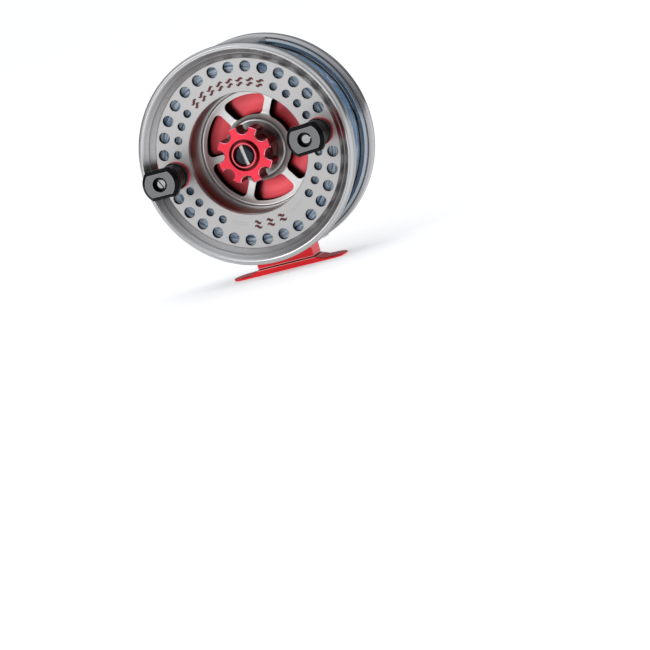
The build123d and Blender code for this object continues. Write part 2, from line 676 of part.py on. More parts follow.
def rear_cap():
    """Domed cover over the spindle nut."""
    return turned([
        (0, 47.5), (6.0, 47.1), (10.2, 45.4), (11.4, 43.0), (11.4, 41.0), (9.8, 41.0), (9.8, 43.4),
        (8.8, 44.9), (0, 45.6)], {1: 4.0, 2: 2.0})


# ---------------------------------------------------------------- all nodes

def handle_nodes():
    """Both handles, numbered 1 on the tip side and 2 on the butt side."""
    nodes = {}
    for number, angle in enumerate(handle_angles(), start=1):
        shapes = {
            "handle_post": handle_post(), "handle_washer": handle_washer(), "handle_bush": handle_bush(),
            "handle_knob": handle_knob(KNOB_TURNS[number - 1]),
            "handle_screw": handle_screw(HANDLE_SLOT_ANGLES[number - 1])}
        for name, shape in shapes.items():
            nodes[f"{name}_{number}"] = at_polar(shape, HANDLE_CIRCLE_R, angle)
    return nodes


def bearing_nodes():
    nodes = {}
    for place, middle in (("front", FRONT_BEARING_DEPTH), ("rear", REAR_BEARING_DEPTH)):
        nodes[f"{place}_bearing_outer_race"] = outer_race(middle)
        nodes[f"{place}_bearing_inner_race"] = inner_race(middle)
        nodes[f"{place}_bearing_balls"] = ball_set(middle)
        nodes[f"{place}_bearing_cage"] = ball_cage(middle)
    return nodes


def main():
    on_spool_axis = {maker.__name__: maker() for maker in (
        spool_face_plate, palming_rim, spool_arbor, spool_web, spool_rear_flange, spool_tie_screws,
        line_winding, drag_star, spindle_screw, thrust_washer, spring_washers, spring_collar, spindle,
        drag_rotor, drag_rotor_screws, friction_disc, ratchet_wheel, ratchet_bush, ratchet_thrust_washer,
        dog_pawl, dog_pin, click_pawl, click_pin, click_slide, click_button, drag_housing,
        drag_housing_screws, frame_back_plate, frame_rear_ring, frame_front_ring, top_crossbar,
        foot_crossbar, frame_screws_rear, frame_screws_front, spindle_nut, rear_cap)}
    on_spool_axis |= handle_nodes() | bearing_nodes()
    placed = {name: Pos(0, FACE_Y, AXIS_HEIGHT) * shape for name, shape in on_spool_axis.items()}
    placed["reel_foot"] = reel_foot()
    placed["foot_screws"] = foot_screws()
    os.makedirs("parts", exist_ok=True)
    for name, shape in placed.items():
        export_step(shape, f"parts/{name}.step")


main()
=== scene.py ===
"""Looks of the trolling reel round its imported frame: wound line, face marks, materials, light and camera."""

import json
import math
import random

import bmesh
import bpy
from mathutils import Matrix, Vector, noise as smooth_noise


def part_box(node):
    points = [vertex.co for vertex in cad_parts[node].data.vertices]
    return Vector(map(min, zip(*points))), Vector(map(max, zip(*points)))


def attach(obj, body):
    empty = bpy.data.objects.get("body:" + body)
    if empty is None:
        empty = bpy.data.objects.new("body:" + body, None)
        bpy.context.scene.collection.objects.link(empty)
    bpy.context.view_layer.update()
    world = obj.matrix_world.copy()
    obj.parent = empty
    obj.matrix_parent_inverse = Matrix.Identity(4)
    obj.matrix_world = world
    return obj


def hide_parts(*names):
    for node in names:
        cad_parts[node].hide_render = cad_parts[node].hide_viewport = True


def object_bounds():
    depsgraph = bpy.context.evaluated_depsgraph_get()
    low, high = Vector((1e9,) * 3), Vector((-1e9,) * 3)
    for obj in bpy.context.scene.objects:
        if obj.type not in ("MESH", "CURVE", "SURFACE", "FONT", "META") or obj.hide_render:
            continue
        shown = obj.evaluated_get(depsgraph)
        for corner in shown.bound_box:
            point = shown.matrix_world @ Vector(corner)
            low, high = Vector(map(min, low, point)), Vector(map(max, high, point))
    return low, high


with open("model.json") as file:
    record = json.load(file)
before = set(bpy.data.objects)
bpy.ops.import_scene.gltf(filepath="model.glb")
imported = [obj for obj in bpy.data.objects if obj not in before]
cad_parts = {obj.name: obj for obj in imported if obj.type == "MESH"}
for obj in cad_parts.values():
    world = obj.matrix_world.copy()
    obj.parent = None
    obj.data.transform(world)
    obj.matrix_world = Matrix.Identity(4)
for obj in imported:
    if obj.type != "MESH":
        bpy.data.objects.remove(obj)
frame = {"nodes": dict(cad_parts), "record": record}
cad_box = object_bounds()
random.seed(7)

MM = 0.001
ARBOR_LOW, ARBOR_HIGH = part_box("spool_arbor")
FACE_LOW, FACE_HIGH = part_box("spool_face_plate")
RIM_LOW, RIM_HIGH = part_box("palming_rim")
LINE_LOW, LINE_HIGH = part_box("line_winding")
KNOB_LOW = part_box("handle_knob_1")[0]
SCREW_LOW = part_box("spindle_screw")[0]
STAR_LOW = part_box("drag_star")[0]
AXIS_Z = (ARBOR_LOW.z + ARBOR_HIGH.z) / 2
FACE_Y = FACE_LOW.y                                # front surface of the face plate

# Radii from the spool axis and depths behind the face plate's front, in millimetres
ARBOR_R = (ARBOR_HIGH.x - ARBOR_LOW.x) / 2 / MM
LINE_R = (LINE_HIGH.x - LINE_LOW.x) / 2 / MM
LINE_FRONT = (LINE_LOW.y - FACE_Y) / MM
LINE_BACK = (LINE_HIGH.y - FACE_Y) / MM
FACE_EDGE_R = (FACE_HIGH.x - FACE_LOW.x) / 2 / MM
RIM_R = (RIM_HIGH.x - RIM_LOW.x) / 2 / MM
KNOB_FRONT = (KNOB_LOW.y - FACE_Y) / MM
SCREW_FRONT = (SCREW_LOW.y - FACE_Y) / MM
STAR_RING_STAND = 1.2                              # ring round the star's screw, off the star's front
STAR_FRONT = (STAR_LOW.y - FACE_Y) / MM + STAR_RING_STAND
WEB_FRONT = 20.0                                   # front of the web's spokes
FOOT_GROOVE = 3.2                                  # height of the groove between foot and block
WHITE = (1.0, 1.0, 1.0)

# ---------------------------------------------------------------- camera

CAMERA_PLACE = (0.5901, -1.7763, AXIS_Z + 0.1484)
CAMERA_TURN = (82.250, 15.842, 15.997)
CAMERA_LENS = 204.9


def add_camera():
    camera = bpy.data.objects.new("camera", bpy.data.cameras.new("camera"))
    camera.location = CAMERA_PLACE
    camera.rotation_euler = [math.radians(angle) for angle in CAMERA_TURN]
    camera.data.lens = CAMERA_LENS
    camera.data.sensor_width = 36.0
    camera.data.clip_end = 50.0
    bpy.context.scene.collection.objects.link(camera)
    bpy.context.scene.camera = camera


# ---------------------------------------------------------------- mesh helpers

def spool_point(radius, angle, depth):
    """Point round the spool axis: millimetres, and degrees anticlockwise from +X."""
    turn = math.radians(angle)
    return Vector((
        radius * math.cos(turn) * MM,
        FACE_Y + depth * MM,
        AXIS_Z + radius * math.sin(turn) * MM))


def add_object(name, shape, body, sharp_angle=40.0):
    """Turn a bmesh into a smooth-shaded object that rides on a body."""
    bmesh.ops.recalc_face_normals(shape, faces=shape.faces)
    limit = math.radians(sharp_angle)
    for face in shape.faces:
        face.smooth = True
    for edge in shape.edges:
        edge.smooth = len(edge.link_faces) == 2 and edge.calc_face_angle(0.0) < limit
    mesh = bpy.data.meshes.new(name)
    shape.to_mesh(mesh)
    shape.free()
    piece = bpy.data.objects.new(name, mesh)
    bpy.context.scene.collection.objects.link(piece)
    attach(piece, body)
    return piece


def bridge_rings(shape, rings):
    """Join each ring of vertices to the next with quads."""
    count = len(rings[0])
    for near, far in zip(rings, rings[1:]):
        for index in range(count):
            after = (index + 1) % count
            shape.faces.new((near[index], near[after], far[after], far[index]))


def capped_sweep(shape, rings):
    """Skin over successive rings, closed at both ends."""
    bridge_rings(shape, rings)
    shape.faces.new(rings[0])
    shape.faces.new(rings[-1])


def direction_at(points, index):
    """Direction of a path at one of its points, from the points beside it."""
    return points[min(index + 1, len(points) - 1)] - points[max(index - 1, 0)]


def tube(shape, points, radius):
    """Round strand along a list of points, with closed ends."""
    turns = [2 * math.pi * side / STRAND_SIDES for side in range(STRAND_SIDES)]
    rings = []
    for index, point in enumerate(points):
        ahead = direction_at(points, index)
        across = ahead.cross(OFF_AXIS).normalized()
        up = across.cross(ahead).normalized()
        rings.append([
            shape.verts.new(point + radius * (across * math.cos(turn) + up * math.sin(turn)))
            for turn in turns])
    capped_sweep(shape, rings)


# ---------------------------------------------------------------- wound line

STRAND_R = 0.36                                    # radius of the monofilament
STRAND_SIDES = 7
OFF_AXIS = Vector((0.3, 0.9, 0.2))                 # not along any strand
LINE_SEGMENTS = 240                                # steps round the winding
ARCH_POINTS = 5                                    # points across each strand of the winding
SIDE_START, TOP_START, BACK_START = 0, 100, 200    # rows of smooth noise for the three runs of strands
LIFT_ROW = 500                                     # first row of noise for the strands' height
TOP_CROSSINGS = 26
SIDE_CROSSINGS = 120


def line_outline(turn):
    """Cross-section of the winding at an angle: a row of strands over the top and down each side."""
    points = []
    across = int((LINE_BACK - LINE_FRONT) / (2 * STRAND_R))
    down = int((LINE_R - ARBOR_R) / (2 * STRAND_R))
    wave = Vector((math.cos(turn), math.sin(turn), 0.0))

    def wander(row, amount):
        return amount * smooth_noise.noise(wave * 2.6 + Vector((0.0, 0.0, row * 0.83)))

    def bumps(start, end, outward, count, first_row):
        """Rounded strands side by side from start to end."""
        along = (end - start) / count
        for index in range(count):
            shift = wander(index + first_row, 0.32)
            lift = wander(index + first_row + LIFT_ROW, 0.5) - 0.25
            for part in range(ARCH_POINTS):
                place = (part + 0.5) / ARCH_POINTS
                arch = math.sqrt(max(0.0, 1 - (2 * place - 1) ** 2))
                sway = shift * math.sin(math.pi * (index + place) / count)
                base = start + along * (index + place + sway)
                points.append(base + outward * (STRAND_R * (arch - 1 + lift * 0.7)))

    low, high = LINE_FRONT + 0.05, LINE_BACK - 0.05
    bumps(Vector((ARBOR_R, low)), Vector((LINE_R - 0.5, low)), Vector((0, -1)), down, SIDE_START)
    bumps(Vector((LINE_R, low + 0.1)), Vector((LINE_R, high - 0.1)), Vector((1, 0)), across, TOP_START)
    bumps(Vector((LINE_R - 0.5, high)), Vector((ARBOR_R, high)), Vector((0, 1)), down, BACK_START)
    return points


def make_wound_line():
    shape = bmesh.new()
    rings = []
    for step in range(LINE_SEGMENTS):
        turn = 2 * math.pi * step / LINE_SEGMENTS
        rings.append([
            shape.verts.new(spool_point(point.x, math.degrees(turn), point.y))
            for point in line_outline(turn)])
    bridge_rings(shape, rings + rings[:1])
    line = add_object("wound_line", shape, "spool", 180.0)
    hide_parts("line_winding")
    return line


def sunk_ends(share, depth):
    """How far a crossing strand sinks among the others: fully at its ends, not at all halfway."""
    return depth * STRAND_R * (1 - math.sin(math.pi * share) ** 0.5)


def add_top_crossing(shape):
    """Turn that crosses the others over the top of the winding."""
    first = random.uniform(0, 360)
    sweep = random.uniform(50, 150)
    low = random.uniform(LINE_FRONT + 1.0, LINE_BACK - 7.0)
    travel = random.uniform(2.0, 6.0) * random.choice((-1, 1))
    low = low if travel > 0 else low + 6.0
    steps = int(sweep / 3)
    points = []
    for step in range(steps + 1):
        share = step / steps
        radius = LINE_R - 0.1 - sunk_ends(share, 0.9)
        points.append(spool_point(radius, first + sweep * share, low + travel * share))
    tube(shape, points, STRAND_R * 0.9 * MM)


def add_side_crossing(shape, angle):
    """Turn that climbs or falls across the side of the winding, behind the face plate."""
    first = angle + random.uniform(-3, 3)
    sweep = random.uniform(14, 34)
    start = random.uniform(ARBOR_R + 0.6, LINE_R - 5.0)
    end = start + random.uniform(2.0, 4.6)
    if random.random() < 0.5:
        start, end = end, start
    steps = int(sweep / 2)
    points = []
    for step in range(steps + 1):
        share = step / steps
        depth = LINE_FRONT + 0.34 + sunk_ends(share, 0.5)
        points.append(spool_point(start + (end - start) * share, first + sweep * share, depth))
    tube(shape, points, STRAND_R * 0.85 * MM)


def make_crossing_strands():
    shape = bmesh.new()
    for _ in range(TOP_CROSSINGS):
        add_top_crossing(shape)
    for index in range(SIDE_CROSSINGS):
        add_side_crossing(shape, 360 / SIDE_CROSSINGS * index)
    return add_object("line_crossings", shape, "spool", 180.0)


# ---------------------------------------------------------------- marks on the face

MARK_HEIGHT = 0.03                                 # paint stands this far off the face
MARK_ROWS = ((93.0, 8, 8.35), (-87.5, 3, 10.5))    # middle angle, marks and their pitch in degrees
MARK_R = 35.3                                      # inner wave of every mark
MARK_STEPS = 22
WAVE_SWELL = 0.6
WAVES = ((0.0, 1.75), (2.3, 2.0))                  # distance from the inner wave, and half length
LINE_ARCS = ((-120.0, -106.0), (-70.0, -55.0))     # faint lines each side of the lower marks
LINE_RADII = (35.6, 36.7)
LINE_STEPS = 16
LINE_WIDTH = 0.16


def ribbon(shape, path, widths, depth):
    """Flat painted stroke: path gives (radius, angle) points and widths its breadth at each."""
    places = [spool_point(radius, angle, depth) for radius, angle in path]
    back = Vector((0, MARK_HEIGHT * MM, 0))
    rings = []
    for index, place in enumerate(places):
        across = direction_at(places, index).cross(Vector((0, 1, 0))).normalized()
        side = across * (widths[index] * MM / 2)
        low, high = place - side, place + side
        rings.append([shape.verts.new(point) for point in (low, high, high + back, low + back)])
    capped_sweep(shape, rings)


def wave_mark(shape, middle, flip):
    """Two small stacked waves, upright as seen from outside the ring."""
    for offset, reach in WAVES:
        path, widths = [], []
        for step in range(MARK_STEPS + 1):
            share = 2 * step / MARK_STEPS - 1
            radius = MARK_R + offset + flip * WAVE_SWELL * math.sin(math.pi * share)
            path.append((radius, middle - math.degrees(reach * share / (MARK_R + offset))))
            widths.append(0.25 + 1.15 * math.cos(math.pi * share / 2) ** 0.8)
        ribbon(shape, path, widths, -MARK_HEIGHT)


def make_face_marks():
    shape = bmesh.new()
    for middle, count, pitch in MARK_ROWS:
        for index in range(count):
            angle = middle + pitch * (index - (count - 1) / 2)
            wave_mark(shape, angle, 1 if middle > 0 else -1)
    return add_object("face_marks", shape, "spool", 60.0)


def make_face_lines():
    """Faint double lines each side of the lower marks."""
    shape = bmesh.new()
    steps = range(LINE_STEPS + 1)
    widths = [LINE_WIDTH * math.sin(math.pi * (step + 0.6) / (LINE_STEPS + 1.2)) ** 0.3 for step in steps]
    for first, last in LINE_ARCS:
        for radius in LINE_RADII:
            path = [(radius, first + (last - first) * step / LINE_STEPS) for step in steps]
            ribbon(shape, path, widths, -MARK_HEIGHT * 0.5)
    return add_object("face_lines", shape, "spool", 60.0)


# ---------------------------------------------------------------- material nodes

FINE_MARKS, BROAD_MARKS = 4.0, 0.44                # turning marks per millimetre
BUMP_DISTANCE = 0.00004
QUARTER_TURN = 0.25                                # a full turn is 1


def new_material(name):
    material = bpy.data.materials.new(name)
    material.use_nodes = True
    tree = material.node_tree
    return material, tree, tree.nodes["Principled BSDF"]


def set_input(tree, socket, value):
    if isinstance(value, bpy.types.NodeSocket):
        tree.links.new(value, socket)
    elif isinstance(value, tuple) and len(value) == 3 and socket.type == "RGBA":
        socket.default_value = (*value, 1.0)
    else:
        socket.default_value = value


def add_node(tree, kind, settings=None, inputs=None):
    """Add a node; inputs maps socket names or numbers to values or sockets."""
    node = tree.nodes.new(kind)
    for key, value in (settings or {}).items():
        setattr(node, key, value)
    for key, value in (inputs or {}).items():
        set_input(tree, node.inputs[key], value)
    return node


def math_node(tree, operation, first, second=0.0, third=0.0):
    inputs = {0: first, 1: second, 2: third}
    return add_node(tree, "ShaderNodeMath", {"operation": operation}, inputs).outputs[0]


def add(tree, first, second):
    return math_node(tree, "ADD", first, second)


def subtract(tree, first, second):
    return math_node(tree, "SUBTRACT", first, second)


def multiply(tree, first, second):
    return math_node(tree, "MULTIPLY", first, second)


def scale_vector(tree, vector, factor):
    inputs = {0: vector, "Scale": factor}
    return add_node(tree, "ShaderNodeVectorMath", {"operation": "SCALE"}, inputs).outputs[0]


def add_vectors(tree, first, second):
    return add_node(tree, "ShaderNodeVectorMath", {"operation": "ADD"}, {0: first, 1: second}).outputs[0]


def object_position(tree):
    """Position in the part's own frame, and its three coordinates."""
    position = add_node(tree, "ShaderNodeTexCoord").outputs["Object"]
    return position, add_node(tree, "ShaderNodeSeparateXYZ", None, {0: position}).outputs


def span(tree, value, low, high, start=0.0, end=1.0):
    """Map low..high onto start..end, clamped."""
    inputs = {0: value, 1: low, 2: high, 3: start, 4: end}
    return add_node(tree, "ShaderNodeMapRange", None, inputs).outputs[0]


def mottle(tree, vector, scale, detail=3.0, roughness=0.55):
    inputs = {"Vector": vector, "Scale": scale, "Detail": detail, "Roughness": roughness}
    return add_node(tree, "ShaderNodeTexNoise", None, inputs).outputs[0]


def mix_colour(tree, factor, first, second, blend="MIX"):
    settings = {"data_type": "RGBA", "blend_type": blend}
    return add_node(tree, "ShaderNodeMix", settings, {0: factor, 6: first, 7: second}).outputs[2]


def bands(tree, value, stops):
    """Tone along a coordinate: stops are (millimetres, grey level or colour), eased between them."""
    first, last = stops[0][0], stops[-1][0]
    node = add_node(tree, "ShaderNodeValToRGB", None, {0: span(tree, value, first, last)})
    node.color_ramp.interpolation = "EASE"
    while len(node.color_ramp.elements) < len(stops):
        node.color_ramp.elements.new(0.5)
    for element, (place, level) in zip(node.color_ramp.elements, stops):
        element.position = (place - first) / (last - first)
        element.color = (*level, 1.0) if isinstance(level, tuple) else (level, level, level, 1.0)
    return node.outputs[0]


def spool_coordinates(tree):
    """Object position, radius from the spool axis and depth behind the face, both in millimetres."""
    position, (x, y, z) = object_position(tree)
    up = subtract(tree, z, AXIS_Z)
    square = add(tree, multiply(tree, x, x), multiply(tree, up, up))
    radius = multiply(tree, math_node(tree, "SQRT", square), 1 / MM)
    depth = multiply(tree, subtract(tree, y, FACE_Y), 1 / MM)
    return position, radius, depth


def along_turns(tree, position, radius, depth, across, along):
    """Coordinates that vary quickly across the turns round the axis and slowly along them."""
    profile = add_node(tree, "ShaderNodeCombineXYZ", None, {0: radius, 1: depth}).outputs[0]
    quick = scale_vector(tree, profile, across)
    slow = scale_vector(tree, position, along)
    return add_vectors(tree, quick, slow)


def turning_marks(tree, position, radius, depth):
    """Fine and broad marks of the turning tool."""
    vector = along_turns(tree, position, radius, depth, 1.0, 18.0)
    return mottle(tree, vector, FINE_MARKS, 2.0), mottle(tree, vector, BROAD_MARKS, 2.0)


def surface(tree, shader, colour, roughness, height, strength, metallic):
    set_input(tree, shader.inputs["Base Color"], colour)
    set_input(tree, shader.inputs["Roughness"], roughness)
    set_input(tree, shader.inputs["Metallic"], metallic)
    relief = {"Strength": strength, "Distance": BUMP_DISTANCE, "Height": height}
    bump = add_node(tree, "ShaderNodeBump", None, relief)
    tree.links.new(bump.outputs[0], shader.inputs["Normal"])


def uneven_roughness(tree, fine, broad, roughness, spread):
    """Roughness that follows fine marks by a share of itself, and broad stains a little."""
    close = span(tree, fine, 0, 1, roughness * (1 - spread), roughness * (1 + spread))
    return add(tree, close, span(tree, broad, 0, 1, -0.03, 0.04))


def turned_metal(name, colour, roughness, shade=None, marks=0.12, wear=0.05, coat=0.0, edge=WHITE,
                 brushed=0.0):
    """Lathe-turned metal.

    shade(tree, radius, depth) gives tone with painted light and shade, added roughness and metal along
    its profile; brushed spreads the highlights across the turning marks.
    """
    material, tree, shader = new_material(name)
    position, radius, depth = spool_coordinates(tree)
    fine, broad = turning_marks(tree, position, radius, depth)
    stains = mottle(tree, position, 70.0, 5.0, 0.65)
    darker = tuple(channel * (1 - 2.4 * wear) for channel in colour)
    uneven = add(tree, multiply(tree, stains, 0.55), multiply(tree, broad, 0.45))
    tone = mix_colour(tree, uneven, darker, colour)
    rough = uneven_roughness(tree, fine, stains, roughness, 0.2)
    metal = 1.0
    if shade:
        tint, rougher, metal = shade(tree, radius, depth)
        tone = mix_colour(tree, 1.0, tone, tint, "MULTIPLY")
        rough = add(tree, rough, rougher)
    height = add(tree, fine, multiply(tree, broad, 0.8))
    surface(tree, shader, tone, rough, height, marks, metal)
    shader.inputs["Coat Weight"].default_value = coat
    shader.inputs["Coat Roughness"].default_value = 0.22
    shader.inputs["Specular Tint"].default_value = (*edge, 1.0)
    if brushed:
        shader.inputs["Anisotropic"].default_value = brushed
        shader.inputs["Anisotropic Rotation"].default_value = QUARTER_TURN
        around = add_node(tree, "ShaderNodeTangent", {"direction_type": "RADIAL", "axis": "Y"})
        tree.links.new(around.outputs[0], shader.inputs["Tangent"])
    return material


def blend_numbers(tree, mask, first, second):
    """first where the mask is 0, second where it is 1."""
    return add(tree, first, multiply(tree, mask, subtract(tree, second, first)))


def plain_grain(name, colour, roughness, metallic=0.0, grain=900.0, relief=0.12, spread=0.12, accent=None,
                gloss=0.5):
    """Fine even grain.

    accent(tree, radius, depth) lists other finishes on the same piece: (mask, colour, roughness, metallic).
    """
    material, tree, shader = new_material(name)
    position, radius, depth = spool_coordinates(tree)
    fine = mottle(tree, position, grain, 4.0)
    broad = mottle(tree, position, 90.0, 4.0, 0.6)
    darker = tuple(channel * (1 - spread * 2) for channel in colour)
    tone = mix_colour(tree, broad, darker, colour)
    shader.inputs["Specular IOR Level"].default_value = gloss
    rough = uneven_roughness(tree, fine, broad, roughness, 0.15)
    metal = metallic
    for mask, other, other_roughness, other_metal in (accent(tree, radius, depth) if accent else ()):
        tone = mix_colour(tree, mask, tone, other)
        rough = blend_numbers(tree, mask, rough, other_roughness)
        metal = blend_numbers(tree, mask, metal, other_metal)
    surface(tree, shader, tone, rough, fine, relief, metal)
    return material


# ---------------------------------------------------------------- materials

# Each shade function returns a tone to multiply by, which holds painted light and shade, added roughness, and
# how metallic the surface is.

def within(tree, value, low, high, blur):
    """Mask that is 1 between low and high."""
    above = span(tree, value, low - blur, low + blur)
    return multiply(tree, above, span(tree, value, high - blur, high + blur, 1.0, 0.0))


def face_shade(tree, radius, depth):
    """Satin front, with the walls of the holes painted dark as shade."""
    # Painted shade: the walls of the holes, behind the front face, are painted near black.
    hole_wall_shade = multiply(tree, span(tree, depth, 0.15, 0.45), span(tree, radius, 32.4, 32.6))
    tone = mix_colour(tree, hole_wall_shade, WHITE, (0.05, 0.06, 0.08))
    return tone, multiply(tree, hole_wall_shade, 0.2), 1.0


def rim_shade(tree, radius, depth):
    """Painted reflection bands and a painted highlight on the crest: the front cone by radius, and the outside
    by depth.
    """
    # Painted reflections: light and dark bands, brightest on the crest, stand in for the surroundings seen in
    # the turned metal.
    front = bands(tree, radius, (
        (FACE_EDGE_R, 0.55), (48.9, 0.95), (50.3, 0.82), (51.1, 0.55), (51.45, 1.0), (53.0, 0.82),
        (53.8, 1.25), (54.2, 1.25), (54.7, 0.72), (55.5, 1.05), (RIM_R - 0.15, 0.9)))
    side = bands(tree, depth, (
        (-4.6, 0.55), (-3.6, 0.62), (-2.6, 0.42), (-1.6, 0.55), (-0.6, 0.32), (1.9, 0.2)))
    outside = span(tree, radius, RIM_R - 0.3, RIM_R - 0.1)
    return mix_colour(tree, outside, front, side), multiply(tree, outside, -0.06), 1.0


def ring_shade(tree, radius, depth):
    """Painted reflection bands round the outside, dark at the back edge; the front edge faces the wound line
    and is painted with a reflection of its blue.
    """
    # Painted reflection: blue tint at the front edge, then light and dark bands.
    tone = bands(tree, depth, (
        (30.4, (0.66, 0.78, 0.88)), (30.9, (0.72, 0.80, 0.86)), (31.4, 0.75), (32.3, 0.75), (33.6, 0.9),
        (34.6, 0.6), (35.8, 1.0), (36.6, 0.6), (37.4, 0.25), (39.4, 0.35), (40.0, 0.75)))
    return tone, 0.0, 1.0


def well_shade(tree, radius, depth):
    """Wall painted brownish between two plain bands, as a painted reflection of the red parts and painted
    shade, and darker towards the back.
    """
    # Painted reflection and shade: brownish tint over the middle of the wall, darker towards the back.
    tone = bands(tree, depth, (
        (2.8, 0.95), (4.5, (0.68, 0.38, 0.36)), (12.0, (0.72, 0.42, 0.40)), (15.5, (0.78, 0.68, 0.66)),
        (17.0, 0.95), (17.6, 0.9), (29.4, 0.5)))
    return tone, 0.0, 1.0


def web_shade(tree, radius, depth):
    """Satin spokes, a polished boss painted darker as a reflection, a matt slope round it, and window walls
    painted near black as shade.
    """
    wall_start, wall_end = WEB_FRONT + 0.3, WEB_FRONT + 0.8
    # Painted reflection darkens the boss; painted shade makes the window walls near black.
    tone = bands(tree, depth, (
        (15.5, 0.42), (16.4, 0.55), (17.8, 0.9), (wall_start, 1.0), (wall_end, 0.02), (26.0, 0.02)))
    collar = within(tree, radius, 15.3, 17.6, 0.4)
    slope = multiply(tree, collar, within(tree, depth, 16.6, WEB_FRONT + 0.1, 0.4))
    walls = span(tree, depth, wall_start, wall_end)
    rougher = add(tree, multiply(tree, slope, 0.2), multiply(tree, walls, 0.4))
    return tone, rougher, subtract(tree, 1.0, multiply(tree, slope, 0.75))


def star_shade(tree, radius, depth):
    """Clear red front, painted highlights on the edges and on the ring round the screw, and painted shade
    making the walls and groove deep red.
    """
    behind = span(tree, depth, STAR_FRONT + 0.36, STAR_FRONT + 0.5)
    # Painted shade: the walls and the groove behind the front are painted deep red.
    walls = multiply(tree, behind, span(tree, radius, 6.2, 6.6))
    # Painted highlight: the chamfered edges of the front are painted light pink.
    edge = within(tree, depth, STAR_FRONT + 0.1, STAR_FRONT + 0.38, 0.05)
    edge_highlight = multiply(tree, edge, span(tree, radius, 8.4, 9.0))
    # Painted highlight: the ring round the screw is painted lighter pink.
    collar = within(tree, radius, 5.75, 6.3, 0.06)
    tone = mix_colour(tree, walls, WHITE, (0.14, 0.12, 0.12))
    tone = mix_colour(tree, edge_highlight, tone, (1.15, 10.0, 7.0))
    tone = mix_colour(tree, collar, tone, (0.85, 4.0, 2.6))
    return tone, 0.0, 1.0


def flange_shade(tree, radius, depth):
    """Turned flange with its outer edge next to the frame painted black as the shade of the gap."""
    # Painted shade: the outer edge is painted near black.
    return span(tree, radius, 50.3, 50.5, 1.0, 0.02), 0.0, 1.0


def housing_shade(tree, radius, depth):
    """Satin red front with painted light and shade: lighter between, and darker and deeper red towards its
    edge and its middle.
    """
    # Painted light and shade in rings round the axis.
    tone = bands(tree, radius, (
        (16.0, (0.55, 0.15, 0.15)), (19.5, (0.9, 0.7, 0.7)), (23.0, 1.0), (26.0, (0.95, 0.8, 0.8)),
        (29.3, (0.6, 0.15, 0.15))))
    return tone, 0.0, 1.0


def foot_shade(tree, radius, depth):
    """Painted highlights along the edges above and below the groove under the block, and painted shade in the
    groove.
    """
    height = multiply(tree, object_position(tree)[1][2], 1 / MM)
    # Painted highlights on the edges by the groove, and painted shade in the groove itself.
    upper = within(tree, height, FOOT_GROOVE + 0.36, FOOT_GROOVE + 0.58, 0.04)
    lower = within(tree, height, FOOT_GROOVE - 0.62, FOOT_GROOVE - 0.40, 0.04)
    groove = within(tree, height, FOOT_GROOVE - 0.30, FOOT_GROOVE + 0.30, 0.04)
    tone = mix_colour(tree, groove, WHITE, (0.25, 0.2, 0.2))
    tone = mix_colour(tree, math_node(tree, "MAXIMUM", upper, lower), tone, (1.1, 24.0, 16.0))
    return tone, 0.0, 1.0


def knob_accents(tree, radius, depth):
    """Grey front face painted as the sheen of light on the black, with a painted highlight line round its
    edge.
    """
    face = span(tree, depth, KNOB_FRONT + 0.02, KNOB_FRONT + 0.06, 1.0, 0.0)
    line = within(tree, depth, KNOB_FRONT + 0.02, KNOB_FRONT + 0.20, 0.03)
    body = span(tree, depth, KNOB_FRONT + 6.0, KNOB_FRONT + 6.6)
    # Painted sheen on the front face and a painted highlight round its edge; the darker body is the knob's own
    # black.
    return (
        (body, (0.010, 0.009, 0.009), 0.36, 0.0),
        (line, (0.34, 0.34, 0.35), 0.30, 0.0),
        (face, (0.20, 0.20, 0.203), 0.34, 0.0))


def screw_accents(tree, radius, depth):
    """Bare slot in the blackened head."""
    slot = span(tree, depth, SCREW_FRONT + 1.05, SCREW_FRONT + 1.15)
    return ((slot, (0.80, 0.79, 0.77), 0.35, 0.0),)


def line_material():
    """Clear blue monofilament with painted glints and painted light on its side next to the face plate; deep
    blue between the strands.
    """
    material, tree, shader = new_material("blue_monofilament")
    position, radius, depth = spool_coordinates(tree)
    streaks = mottle(tree, along_turns(tree, position, radius, depth, 1.6, 90.0), 1.0, 4.0, 0.6)
    glints = mottle(tree, along_turns(tree, position, radius, depth, 0.9, 110.0), 1.0, 3.0, 0.6)
    deep = mix_colour(tree, span(tree, streaks, 0.38, 0.62), (0.030, 0.085, 0.185), (0.11, 0.23, 0.38))
    # Painted light: the side of the winding next to the face plate is lightened.
    side = span(tree, depth, LINE_FRONT + 1.2, LINE_FRONT + 2.2, 0.09, -0.05)
    # Painted glints: pale where the glint noise and the lightened side are high.
    painted_light_mask = span(tree, add(tree, glints, side), 0.50, 0.64)
    tone = mix_colour(tree, painted_light_mask, deep, (0.52, 0.62, 0.72))
    surface(tree, shader, tone, span(tree, streaks, 0, 1, 0.16, 0.3), glints, 0.1, 0.0)
    shader.inputs["Coat Weight"].default_value = 0.6
    return material


